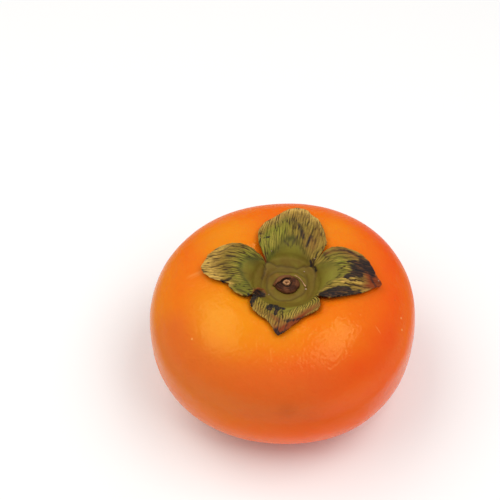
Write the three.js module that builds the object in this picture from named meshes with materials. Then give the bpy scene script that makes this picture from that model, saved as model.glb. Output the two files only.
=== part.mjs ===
// A squat eating persimmon, as picked: the fruit, the four-lobed calyx that lies on its crown, and
// the stub of the stalk that it hung from. Millimetres, +Z up. The origin is on the surface that
// the fruit rests on, under the middle of its outline.
import * as THREE from "three";

// ---- Driving dimensions ----

const FRUIT = {
  axis: { x: 0.3, y: -0.2 }, // of its round; the origin is under the middle of the whole outline
  radius: 40, // mean radius at the widest level
  crown: 23, // from the widest level up to the crown, before the hollow under the calyx
  belly: 28.7, // from the widest level down to the surface that it rests on
  crownPower: 2.46, // 2 is an ellipse; more is squarer in the shoulder
  bellyPower: 2.75,
  flatCut: 0.3, // how much the resting spot is cut off the round of the belly
  waves: [
    // [turns, share of the radius, angle of the crest in degrees]
    [2, 0.028, 11],
    [3, 0.008, 71],
    [4, 0.007, 45],
  ],
  hollowDepth: 8.6, // the hollow that the calyx lies in
  hollowRadius: 20,
  shoulderRise: 0.6, // the four soft shoulders between the calyx lobes
  dimple: [[1, 0], [0.85, 0.35], [0.6, 0.85], [0.3, 1.1], [0.16, 1]], // [share, height] at the blossom end
  dimpleRadius: 5.5,
  styleTip: 0.35, // height of the dried point in the middle of the dimple
};

const STALK = { x: 0.9, y: -0.9 }; // where the stalk's axis meets the crown

const CALYX = {
  gap: 0.3, // clearance to the fruit below
  rimRadius: 9.7, // where the disc ends and the lobes begin
  rimStretch: 0.06, // the rim is that share further out on its fuller side
  rimStretchAim: 260, // degrees
  squareness: 0.05, // of the grooves and ridges round the stalk
  seatHeight: 3.2, // the level middle above the bottom of the fruit's hollow
  rimLift: 0.5, // of the rim's underside above the fruit, gap apart
  rimThickness: 1,
  lipRise: 0.7, // of the rim where it hangs over the shortest lobe
  lipAim: 264, // degrees
  edgeThickness: 0.75,
  // [share of the rim's radius, share of the climb from the level middle to the rim]
  terraces: [[0, 0], [0.46, 0], [0.6, 0.05], [0.65, 0], [0.74, 0.35], [0.84, 0.55], [1, 1]],
  archPower: 0.58, // puts a lobe's highest point at three tenths of its length
  ribHeight: 0.12, // of the fine lengthwise ribs on the papery part of the lobes
};

// Each lobe is a sheet between the rim and its own far edge. u runs across it, from -1 on its
// clockwise side to 1 on the other, and v from 0 at the rim to 1 at the far edge.
const LOBES = [
  {
    aim: 4, // direction of the midrib, degrees
    from: -30, // the notches between lobes that it springs from, degrees
    to: 36,
    sides: [7.8, 9.6], // half widths at u = -1 and u = 1
    bulge: [1.2, 0.5], // how far those sides bow out
    arch: 2.3,
    droop: 0.6, // share of the arch lost at the sides
    tipLift: 0.5,
    folds: [[0.45, 0.3, 0.5], [-0.35, 0.3, -0.45]], // [u, spread, height]
    // [u, distance from the stalk's axis] along the far edge
    edge: [[-1, 14], [-0.9, 18.4], [-0.8, 21.2], [-0.65, 23.3], [-0.5, 24.9], [-0.38, 26.2],
      [-0.3, 27.7], [-0.2, 28.2], [-0.08, 28], [0.05, 27.1], [0.2, 26.5], [0.4, 25.8],
      [0.6, 24.8], [0.8, 23.1], [0.93, 20.8], [1, 17]],
  },
  {
    aim: 85.5,
    from: 36,
    to: 133,
    sides: [10.5, 10.3],
    bulge: [0.4, 1.1],
    arch: 2.4,
    droop: 0.5,
    tipLift: 0.3,
    folds: [[-0.05, 0.25, -0.6], [0.5, 0.3, 0.3]],
    edge: [[-1, 13.2], [-0.9, 17.3], [-0.8, 20], [-0.68, 22.9], [-0.55, 24.1], [-0.44, 25.1],
      [-0.36, 27.1], [-0.2, 28], [0, 28.5], [0.2, 27.6], [0.36, 25.9], [0.5, 23.9],
      [0.65, 21.7], [0.8, 20.1], [0.92, 17.9], [1, 15.2]],
  },
  {
    aim: 172.5,
    from: 133,
    to: 212,
    sides: [8.6, 9.2],
    bulge: [0.7, 0.9],
    arch: 2.2,
    droop: 0.6,
    tipLift: 0.4,
    folds: [[0.1, 0.3, -0.4], [-0.6, 0.3, 0.4]],
    edge: [[-1, 17.5], [-0.9, 20.4], [-0.75, 22.4], [-0.6, 23.7], [-0.45, 24.6], [-0.2, 25.3],
      [-0.05, 25.8], [0.08, 25.9], [0.2, 24.9], [0.33, 23.2], [0.47, 21.4], [0.57, 19.7],
      [0.64, 15.6], [0.71, 16.4], [0.82, 15.6], [0.93, 13.8], [1, 11.6]],
  },
  {
    aim: 264.5,
    from: 212,
    to: 330,
    sides: [9.3, 10.3],
    bulge: [0.5, 1],
    arch: 0.9,
    droop: 0.5,
    tipLift: 0.25,
    folds: [[-0.85, 0.16, 0.9], [0.3, 0.3, 0.3]],
    edge: [[-1, 11], [-0.92, 12.8], [-0.8, 14], [-0.65, 14.8], [-0.5, 15.4], [-0.35, 16.4],
      [-0.2, 18.1], [-0.1, 19.3], [0.02, 20], [0.15, 19.2], [0.3, 17.6], [0.45, 15.7],
      [0.6, 13.7], [0.75, 12.1], [0.88, 11.1], [1, 10.2]],
  },
];

const STUB = {
  halfWidths: [4.1, 3.4], // along x and y, at the foot
  corner: 0.14, // how far the foot is drawn out to a point, as a share
  cornerAim: 185, // degrees
  gap: 0.3, // above the calyx's level middle
  // [share of the foot, height] over the domed scar, its groove and the woody ring, to the bore
  profile: [[1, 0], [0.97, 0.45], [0.85, 1], [0.66, 1.35], [0.5, 1.25], [0.4, 0.8], [0.3, 0.85],
    [0.27, 1.5], [0.2, 1.65], [0.13, 1.5], [0.1, 0.9]],
};

const FINENESS = {
  fruitSides: 64,
  bellyRings: 16,
  crownRings: 17,
  lobeColumns: 28,
  lobeRows: 9,
  stubSides: 28,
};

// ---- Small helpers ----

const radians = THREE.MathUtils.degToRad;
const { smoothstep, lerp, clamp } = THREE.MathUtils;

// The value at x on a list of [x, value] points joined by straight lines.
function alongList(list, x) {
  const next = Math.max(1, list.findIndex(([at]) => at >= x));
  const [x0, value0] = list[next - 1];
  const [x1, value1] = list[next];
  return lerp(value0, value1, (x - x0) / (x1 - x0));
}

function indexedGeometry(points, triangles) {
  const geometry = new THREE.BufferGeometry();
  geometry.setAttribute("position", new THREE.Float32BufferAttribute(points.flat(), 3));
  geometry.setIndex(triangles);
  geometry.computeVertexNormals();
  return geometry;
}

// A closed body skinned over rings of points, counter-clockwise from above, between two end points.
function ringSolid(bottom, rings, top) {
  const sides = rings[0].length;
  const points = [bottom, ...rings.flat(), top];
  const vertex = (ring, i) => 1 + ring * sides + (i % sides);
  const triangles = [];
  for (let i = 0; i < sides; i++) {
    triangles.push(0, vertex(0, i + 1), vertex(0, i));
    for (let ring = 0; ring < rings.length - 1; ring++) {
      const [a, b] = [vertex(ring, i), vertex(ring, i + 1)];
      const [c, d] = [vertex(ring + 1, i + 1), vertex(ring + 1, i)];
      triangles.push(a, b, c, a, c, d);
    }
    triangles.push(vertex(rings.length - 1, i), vertex(rings.length - 1, i + 1), points.length - 1);
  }
  return indexedGeometry(points, triangles);
}

function ringOfAngles(sides) {
  return Array.from({ length: sides }, (_, i) => (2 * Math.PI * i) / sides);
}

// ---- The fruit ----

function outlineRadius(angle) {
  const share = FRUIT.waves.reduce(
    (sum, [turns, depth, crest]) => sum + depth * Math.cos(turns * (angle - radians(crest))),
    1,
  );
  return FRUIT.radius * share;
}

function hollow(x, y) {
  const reach = Math.min(1, Math.hypot(x - STALK.x, y - STALK.y) / FRUIT.hollowRadius);
  return (FRUIT.hollowDepth * (1 + Math.cos(Math.PI * reach))) / 2;
}

function shoulders(angle, share) {
  const ring = Math.sin(Math.PI * clamp((share - 0.2) / 0.8, 0, 1)) ** 2;
  return FRUIT.shoulderRise * ring * Math.cos(4 * (angle - radians(45)));
}

// Height of the crown's skin over a point inside the outline.
function crownHeight(x, y) {
  const [fromX, fromY] = [x - FRUIT.axis.x, y - FRUIT.axis.y];
  const angle = Math.atan2(fromY, fromX);
  const share = Math.min(1, Math.hypot(fromX, fromY) / outlineRadius(angle));
  const dome = FRUIT.crown * (1 - share ** FRUIT.crownPower) ** (1 / FRUIT.crownPower);
  return FRUIT.belly + dome - hollow(x, y) + shoulders(angle, share);
}

// Where a direction from the middle of the widest level meets a squared round of the given height,
// as shares of its radius and of that height. The direction is seen at true proportions.
function squaredRound(direction, height, power) {
  const across = Math.cos(direction);
  const along = (Math.sin(direction) * FRUIT.radius) / height;
  const reach = (across ** power + along ** power) ** (-1 / power);
  return [across * reach, along * reach];
}

function fruitGeometry() {
  const { axis, radius, belly, flatCut, bellyPower, crown, crownPower } = FRUIT;
  const { fruitSides, bellyRings, crownRings } = FINENESS;
  const angles = ringOfAngles(fruitSides);
  const ringAt = (share, heightAt) =>
    angles.map((angle) => {
      const reach = share * outlineRadius(angle);
      const [x, y] = [axis.x + reach * Math.cos(angle), axis.y + reach * Math.sin(angle)];
      return [x, y, heightAt(x, y)];
    });
  const dimple = FRUIT.dimple.toReversed().map(([share, height]) =>
    ringAt((share * FRUIT.dimpleRadius) / radius, () => height),
  );
  const roundBelly = belly + flatCut;
  const flatShare = (1 - (belly / roundBelly) ** bellyPower) ** (1 / bellyPower);
  const flatDirection = Math.atan2(belly, flatShare * radius);
  const bellySide = Array.from({ length: bellyRings }, (_, i) => {
    const [share, drop] = squaredRound(flatDirection * (1 - i / bellyRings), roundBelly, bellyPower);
    const height = i === 0 ? 0 : belly - drop * roundBelly;
    return ringAt(share, () => height);
  });
  const crownSide = Array.from({ length: crownRings }, (_, i) => {
    const [share] = squaredRound(((Math.PI / 2) * i) / crownRings, crown, crownPower);
    return ringAt(share, crownHeight);
  });
  return ringSolid(
    [axis.x, axis.y, FRUIT.styleTip],
    [...dimple, ...bellySide, ...crownSide],
    [axis.x, axis.y, crownHeight(axis.x, axis.y)],
  );
}

// ---- The calyx ----

const seatTop = crownHeight(STALK.x, STALK.y) + CALYX.seatHeight;

function rimReach(angle) {
  const { rimRadius, rimStretch, rimStretchAim } = CALYX;
  return rimRadius * (1 + rimStretch * Math.cos(angle - radians(rimStretchAim)));
}

function aboveFruit(angle, reach, lift) {
  const x = STALK.x + reach * Math.cos(angle);
  const y = STALK.y + reach * Math.sin(angle);
  return { x, y, bottom: crownHeight(x, y) + CALYX.gap + lift };
}

// A point of the disc, by direction from the stalk's axis and share of the way to the rim.
function discPoint(angle, share) {
  const { squareness, rimLift, rimThickness, lipRise, lipAim, terraces } = CALYX;
  const square = 1 + squareness * Math.sin(Math.PI * share) * Math.cos(4 * (angle - radians(45)));
  const point = aboveFruit(angle, share * rimReach(angle) * square, rimLift * smoothstep(share, 0.75, 1));
  const lip = lipRise * Math.max(0, Math.cos(angle - radians(lipAim))) ** 4;
  const rimTop = aboveFruit(angle, rimReach(angle), rimLift).bottom + rimThickness + lip;
  return { ...point, top: lerp(seatTop, rimTop, alongList(terraces, share)) };
}

function lobeLift(lobe, u, v, rib) {
  const arch = lobe.arch * Math.sin(Math.PI * v ** CALYX.archPower) * (1 - lobe.droop * u * u);
  const folds = lobe.folds.reduce(
    (sum, [at, spread, height]) => sum + height * Math.exp(-(((u - at) / spread) ** 2)),
    0,
  );
  const rim = CALYX.rimLift * (1 - smoothstep(v, 0, 0.6));
  const papery = smoothstep(v + 0.3 * Math.abs(u), 0.25, 0.55);
  return Math.max(0, rim + arch + folds * Math.sin(Math.PI * v) + lobe.tipLift * v ** 3 + rib * papery);
}

function lobePoint(lobe, u, v, rib) {
  const aim = radians(lobe.aim);
  const start = lerp(radians(lobe.from), radians(lobe.to), (u + 1) / 2);
  const rim = rimReach(start);
  const side = u < 0 ? 0 : 1;
  const bow = lobe.bulge[side] * u ** 3 * Math.sin(Math.PI * v);
  const forward = lerp(rim * Math.cos(start - aim), alongList(lobe.edge, u), v);
  const across = lerp(rim * Math.sin(start - aim), u * lobe.sides[side], v) + Math.abs(bow) * Math.sign(u);
  const angle = aim + Math.atan2(across, forward);
  const point = aboveFruit(angle, Math.hypot(across, forward), lobeLift(lobe, u, v, rib));
  return { ...point, top: point.bottom + lerp(CALYX.rimThickness, CALYX.edgeThickness, v) };
}

// The disc and the four lobes are one sheet with an upper face, an under face and walls round its
// outline. Neighbouring lobes share their notch point on the rim and are apart beyond it.
function calyxGeometry() {
  const { lobeColumns, lobeRows } = FINENESS;
  const points = [];
  const triangles = [];
  // Each place in the sheet has an even vertex on the upper face and the next one under it.
  const add = ({ x, y, bottom, top }) => {
    points.push([x, y, top], [x, y, bottom]);
    return points.length - 2;
  };
  const sheet = (a, b, c) => triangles.push(a, b, c, a + 1, c + 1, b + 1);
  const wall = (a, b) => triangles.push(a, a + 1, b + 1, a, b + 1, b);
  const patch = (near, far) => {
    for (let i = 0; i < near.length - 1; i++) {
      sheet(near[i], far[i], far[i + 1]);
      sheet(near[i], far[i + 1], near[i + 1]);
    }
  };

  const spokes = LOBES.flatMap(({ from, to }) =>
    Array.from({ length: lobeColumns }, (_, i) => radians(lerp(from, to, i / lobeColumns))),
  );
  const [[middleShare], ...ringShares] = CALYX.terraces;
  const middle = add(discPoint(0, middleShare));
  const rings = ringShares.map(([share]) => {
    const ring = spokes.map((angle) => add(discPoint(angle, share)));
    return [...ring, ring[0]];
  });
  for (let i = 0; i < spokes.length; i++) {
    sheet(middle, rings[0][i], rings[0][i + 1]);
  }
  for (let ring = 1; ring < rings.length; ring++) {
    patch(rings[ring - 1], rings[ring]);
  }

  LOBES.forEach((lobe, k) => {
    const rows = [rings.at(-1).slice(k * lobeColumns, (k + 1) * lobeColumns + 1)];
    for (let row = 1; row <= lobeRows; row++) {
      rows.push(
        Array.from({ length: lobeColumns + 1 }, (_, i) => {
          const rib = i % 2 ? -CALYX.ribHeight : CALYX.ribHeight;
          return add(lobePoint(lobe, (2 * i) / lobeColumns - 1, row / lobeRows, rib));
        }),
      );
      const [near, far] = rows.slice(-2);
      patch(near, far);
      wall(near[0], far[0]);
      wall(far[lobeColumns], near[lobeColumns]);
    }
    const edge = rows.at(-1);
    for (let i = 0; i < lobeColumns; i++) {
      wall(edge[i], edge[i + 1]);
    }
  });
  return indexedGeometry(points, triangles);
}

// ---- The stub of the stalk ----

function stubGeometry() {
  const [halfX, halfY] = STUB.halfWidths;
  const rings = STUB.profile.map(([share, height]) =>
    ringOfAngles(FINENESS.stubSides).map((angle) => {
      const turn = Math.cos(angle - radians(STUB.cornerAim));
      const reach = share * (1 + STUB.corner * Math.max(0, turn) ** 6 * share);
      return [reach * halfX * Math.cos(angle), reach * halfY * Math.sin(angle), height];
    }),
  );
  return ringSolid([0, 0, 0], rings, [0, 0, STUB.profile.at(-1)[1]]);
}

// ---- Assembly ----

function piece(name, geometry, color, roughness) {
  const material = new THREE.MeshStandardMaterial({ color, roughness, metalness: 0 });
  const mesh = new THREE.Mesh(geometry, material);
  mesh.name = name;
  return mesh;
}

const stub = piece("stalk_stub", stubGeometry(), 0x4a2b1c, 0.75);
stub.position.set(STALK.x, STALK.y, seatTop + STUB.gap);

const persimmon = new THREE.Group();
persimmon.name = "persimmon";
persimmon.add(
  piece("fruit", fruitGeometry(), 0xf0781e, 0.35),
  piece("calyx", calyxGeometry(), 0x7f7a35, 0.7),
  stub,
);

export default persimmon;
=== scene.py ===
from math import asin, atan2, cos, exp, hypot, pi, radians, sin

import bpy
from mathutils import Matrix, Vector, noise


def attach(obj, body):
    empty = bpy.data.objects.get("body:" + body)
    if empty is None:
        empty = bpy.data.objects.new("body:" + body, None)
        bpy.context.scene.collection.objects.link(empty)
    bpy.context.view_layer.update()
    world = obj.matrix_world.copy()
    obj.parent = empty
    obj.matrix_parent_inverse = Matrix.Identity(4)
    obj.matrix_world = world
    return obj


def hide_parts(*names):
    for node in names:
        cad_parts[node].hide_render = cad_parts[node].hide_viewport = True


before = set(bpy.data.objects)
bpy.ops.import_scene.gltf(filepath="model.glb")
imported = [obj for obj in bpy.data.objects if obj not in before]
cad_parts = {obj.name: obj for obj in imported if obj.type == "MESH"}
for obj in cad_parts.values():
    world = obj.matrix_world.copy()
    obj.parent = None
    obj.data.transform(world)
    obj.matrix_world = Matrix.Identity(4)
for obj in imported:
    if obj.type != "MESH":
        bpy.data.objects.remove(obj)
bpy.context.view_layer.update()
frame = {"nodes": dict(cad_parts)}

# Squat eating persimmon with its four-lobed calyx and the scar of its stalk.
# Shapes are worked out in millimetres and written to the meshes in metres.
mm = 0.001
print("frame loaded:", ", ".join(frame["nodes"]))


# ---- small helpers ----

def mix(a, b, share):
    return a + (b - a) * share


def smooth(x, start, end):
    t = min(1, max(0, (x - start) / (end - start)))
    return t * t * (3 - 2 * t)


def hump(x, at, spread):
    return exp(-((x - at) / spread) ** 2)


def alongList(points, x):
    # straight between the points of [x, value]
    for (x0, value0), (x1, value1) in zip(points, points[1:]):
        if x <= x1:
            break
    return mix(value0, value1, (x - x0) / (x1 - x0))


def alongSoft(points, x, reach):
    # the same with its corners rounded
    low, high = points[0][0], points[-1][0]
    steps = (-1, -0.5, 0, 0.5, 1)
    return sum(alongList(points, min(high, max(low, x + reach * s))) for s in steps) / 5


def around(middle, angle, reach):
    return middle[0] + reach * cos(angle), middle[1] + reach * sin(angle)


def wobble(x, y, z=0):
    return noise.noise(Vector((x, y, z)))


def deselectAll():
    if bpy.context.object and bpy.context.object.mode != "OBJECT":
        bpy.ops.object.mode_set(mode="OBJECT")
    bpy.ops.object.select_all(action="DESELECT")


def newBall(shape, place):
    # a ball with its points moved to where place puts them, in millimetres
    deselectAll()
    bpy.ops.mesh.primitive_uv_sphere_add(segments=shape["segments"], ring_count=shape["rings"], radius=1)
    ball = bpy.context.object
    for vertex in ball.data.vertices:
        vertex.co = place(vertex.co) * mm
    return ball


def downShare(point):
    # 0 at the top of a ball, 1 at its foot
    return 0.5 - asin(max(-1, min(1, point.z))) / pi


def joinPieces(pieces):
    deselectAll()
    for piece in pieces:
        piece.select_set(True)
    bpy.context.view_layer.objects.active = pieces[0]
    bpy.ops.object.join()
    return bpy.context.object


def finishPiece(piece, name, material, replaced=None):
    bpy.ops.object.shade_smooth()
    piece.name = name
    piece.data.name = name
    piece.data.materials.clear()
    piece.data.materials.append(material)
    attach(piece, "root")
    if replaced:
        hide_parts(replaced)
    print("made", name, len(piece.data.polygons), "faces")


def paintPoints(mesh, name, colours):
    layer = mesh.color_attributes.new(name=name, type="FLOAT_COLOR", domain="POINT")
    layer.data.foreach_set("color", [value for colour in colours for value in (*colour, 1)])


# ---- camera, floor and lights ----

view = {
    "place": (0.0013, -0.22386, 0.36031),
    "forward": (-0.0303, 0.6, -0.7994),
    "lens": 93.09,
    "nearest": 0.01,
}

studio = {
    "floor": (0.93, 0.93, 0.93),
    "floorSize": 6,
    "floorRoughness": 0.9,
    "floorGloss": 0.1,
    "sky": (0.96, 0.98, 1),
    "skyStrength": 0.5,
    # direction from the middle, width and height in metres, brightness, colour
    "softboxes": [
        ("softboxLeft", (-0.49, 0.04, 0.87), 0.56, 0.38, 2.5, (1, 0.97, 0.92)),
        ("softboxRight", (0.41, -0.1, 0.92), 0.48, 0.34, 3.6, (1, 0.96, 0.93)),
    ],
    "middle": (0, 0, 0.045),
    "distance": 0.6,
}


def setCamera():
    aim = Vector(view["forward"]).to_track_quat("-Z", "Y")
    bpy.ops.object.camera_add(location=view["place"], rotation=aim.to_euler())
    camera = bpy.context.object
    camera.name = "mainCamera"
    camera.data.lens = view["lens"]
    camera.data.sensor_width = 36
    camera.data.clip_start = view["nearest"]
    bpy.context.scene.camera = camera


def setFloor():
    bpy.ops.mesh.primitive_plane_add(size=studio["floorSize"], location=(0, 0, 0))
    floor = bpy.context.object
    floor.name = "floor"
    material = bpy.data.materials.new("paleFloor")
    material.use_nodes = True
    shader = material.node_tree.nodes["Principled BSDF"]
    shader.inputs["Base Color"].default_value = (*studio["floor"], 1)
    shader.inputs["Roughness"].default_value = studio["floorRoughness"]
    shader.inputs["Specular IOR Level"].default_value = studio["floorGloss"]
    floor.data.materials.append(material)


def setLights():
    scene = bpy.context.scene
    scene.world = bpy.data.worlds.new("studio")
    scene.world.use_nodes = True
    sky = scene.world.node_tree.nodes["Background"]
    sky.inputs["Color"].default_value = (*studio["sky"], 1)
    sky.inputs["Strength"].default_value = studio["skyStrength"]
    for name, direction, width, height, brightness, colour in studio["softboxes"]:
        direction = Vector(direction).normalized()
        bpy.ops.object.light_add(
            type="AREA",
            location=Vector(studio["middle"]) + direction * studio["distance"],
            rotation=direction.to_track_quat("Z", "Y").to_euler(),
        )
        light = bpy.context.object
        light.name = name
        light.data.shape = "RECTANGLE"
        light.data.size = width
        light.data.size_y = height
        light.data.energy = brightness * width * height * pi
        light.data.color = colour
    scene.view_settings.view_transform = "Standard"


deselectAll()
setCamera()
setFloor()
setLights()
print("studio set")


# ---- nodes ----

class Nodes:
    # a few short words for wiring a node tree; a colour can be given by its name in the look
    def __init__(self, tree, look):
        self.tree, self.look = tree, look

    def add(self, kind, settings=None, **inputs):
        node = self.tree.nodes.new(kind)
        for key, value in (settings or {}).items():
            setattr(node, key, value)
        return self.feed(node, inputs, inputs.values())

    def feed(self, node, sockets, values):
        for socket, value in zip(sockets, values):
            self.put(node, socket, value)
        return node

    def put(self, node, socket, value):
        target = node.inputs[socket]
        if hasattr(value, "is_output"):
            self.tree.links.new(value, target)
        elif target.type == "RGBA":
            target.default_value = (*self.look.get(value, value), 1)
        else:
            target.default_value = value

    def maths(self, operation, a, b=0, clamp=False):
        node = self.add("ShaderNodeMath", {"operation": operation, "use_clamp": clamp})
        return self.feed(node, (0, 1), (a, b)).outputs[0]

    def times(self, value, *others, clamp=False):
        for other in others:
            value = self.maths("MULTIPLY", value, other, clamp)
        return value

    def plus(self, value, *others, clamp=False):
        for other in others:
            value = self.maths("ADD", value, other, clamp)
        return value

    def aboutHalf(self, value):
        # centres a mask of 0 to 1 about nothing
        return self.maths("SUBTRACT", value, 0.5)

    def vectors(self, operation, a, b=(0, 0, 0), output="Vector"):
        node = self.add("ShaderNodeVectorMath", {"operation": operation})
        return self.feed(node, (0, 1), (a, b)).outputs[output]

    def fade(self, value, start, end, low=0, high=1):
        node = self.add("ShaderNodeMapRange", {"interpolation_type": "SMOOTHSTEP"})
        sockets = ("Value", "From Min", "From Max", "To Min", "To Max")
        return self.feed(node, sockets, (value, start, end, low, high)).outputs["Result"]

    def blend(self, share, a, b, way="MIX"):
        # the share is the first input, the two colours the seventh and eighth
        node = self.add("ShaderNodeMix", {"data_type": "RGBA", "blend_type": way, "clamp_factor": True})
        return self.feed(node, (0, 6, 7), (share, a, b)).outputs[2]

    def noise(self, vector, scale, detail=2, roughness=0.5):
        node = self.add("ShaderNodeTexNoise", Vector=vector, Scale=scale, Detail=detail,
                        Roughness=roughness)
        return node.outputs["Fac"]

    def group(self, group, **inputs):
        return self.add("ShaderNodeGroup", {"node_tree": group}, **inputs).outputs["Mask"]

    def attribute(self, name):
        # the vector and the three channels painted on the points
        node = self.add("ShaderNodeAttribute", {"attribute_name": name})
        split = self.add("ShaderNodeSeparateColor", Color=node.outputs["Color"])
        return (node.outputs["Vector"], *(split.outputs[channel] for channel in ("Red", "Green", "Blue")))

    def bump(self, shader, strength, distance, height):
        node = self.add("ShaderNodeBump", Strength=strength, Distance=distance, Height=height)
        self.put(shader, "Normal", node.outputs["Normal"])


def newGroup(name, inputs):
    # a group that takes a vector and named values, and puts out a mask
    tree = bpy.data.node_groups.new(name, "ShaderNodeTree")
    tree.interface.new_socket(name="Vector", in_out="INPUT", socket_type="NodeSocketVector")
    for socket, value in inputs.items():
        made = tree.interface.new_socket(name=socket, in_out="INPUT", socket_type="NodeSocketFloat")
        made.default_value = value
    tree.interface.new_socket(name="Mask", in_out="OUTPUT", socket_type="NodeSocketFloat")
    net = Nodes(tree, {})
    return tree, net, tree.nodes.new("NodeGroupInput").outputs, tree.nodes.new("NodeGroupOutput")


def cloudGroup():
    # soft clouds of two sizes, 0 to 1 about a half
    tree, net, given, end = newGroup("clouds", {"Scale": 60, "Contrast": 1})
    broad = net.noise(given["Vector"], given["Scale"])
    fine = net.noise(given["Vector"], net.times(given["Scale"], 4.3), 3, 0.6)
    both = net.plus(net.times(broad, 0.68), net.times(fine, 0.32))
    centred = net.times(net.aboutHalf(both), given["Contrast"])
    net.put(end, "Mask", net.plus(centred, 0.5, clamp=True))
    return tree


def speckGroup():
    # scattered small spots of uneven size; Share is how many of the cells have one
    tree, net, given, end = newGroup("specks", {"Scale": 400, "Size": 0.15, "Share": 0.2})
    cells = net.add("ShaderNodeTexVoronoi", Vector=given["Vector"], Scale=given["Scale"])
    pick = net.add("ShaderNodeSeparateColor", Color=cells.outputs["Color"])
    chosen = net.maths("LESS_THAN", pick.outputs["Red"], given["Share"])
    radius = net.times(given["Size"], net.plus(net.times(pick.outputs["Green"], 0.8), 0.4))
    inner = net.maths("SUBTRACT", radius, cells.outputs["Distance"])
    net.put(end, "Mask", net.times(net.times(inner, 12, clamp=True), chosen))
    return tree


clouds = cloudGroup()
specks = speckGroup()


def newMaterial(name, roughness, look):
    material = bpy.data.materials.new(name)
    material.use_nodes = True
    net = Nodes(material.node_tree, look)
    shader = material.node_tree.nodes["Principled BSDF"]
    shader.inputs["Roughness"].default_value = roughness
    return material, net, shader, net.add("ShaderNodeTexCoord").outputs["Object"]


# ---- the fruit ----

fruitShape = {
    "axis": (0.3, -0.2),
    "radius": 40,
    "crown": 23,
    "belly": 28.7,
    "crownPower": 2.46,
    "bellyPower": 2.75,
    "flatCut": 0.3,
    "waves": [(2, 0.028, 11), (3, 0.008, 71), (4, 0.007, 45)],
    "stalk": (0.9, -0.9),
    "hollowDepth": 8.6,
    "hollowRadius": 20,
    "shoulderRise": 0.6,
    "shoulderAim": 45,
    "dimple": [(0, 1), (0.16, 1), (0.3, 1.1), (0.6, 0.85), (0.85, 0.35), (1, 0)],
    "dimpleRadius": 5.5,
    "groove": 0.3,        # four faint grooves round the blossom end
    "grooveAim": 48,
    "swell": 0.16,        # soft unevenness of the skin
    "swellHeart": 27,     # height of the point that it swells away from
    "valley": ((9.5, -11.5), (0.55, -0.83), 6, 2.6, 0.45),   # middle, run, length, width, depth
    "segments": 256,
    "rings": 160,
}

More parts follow.
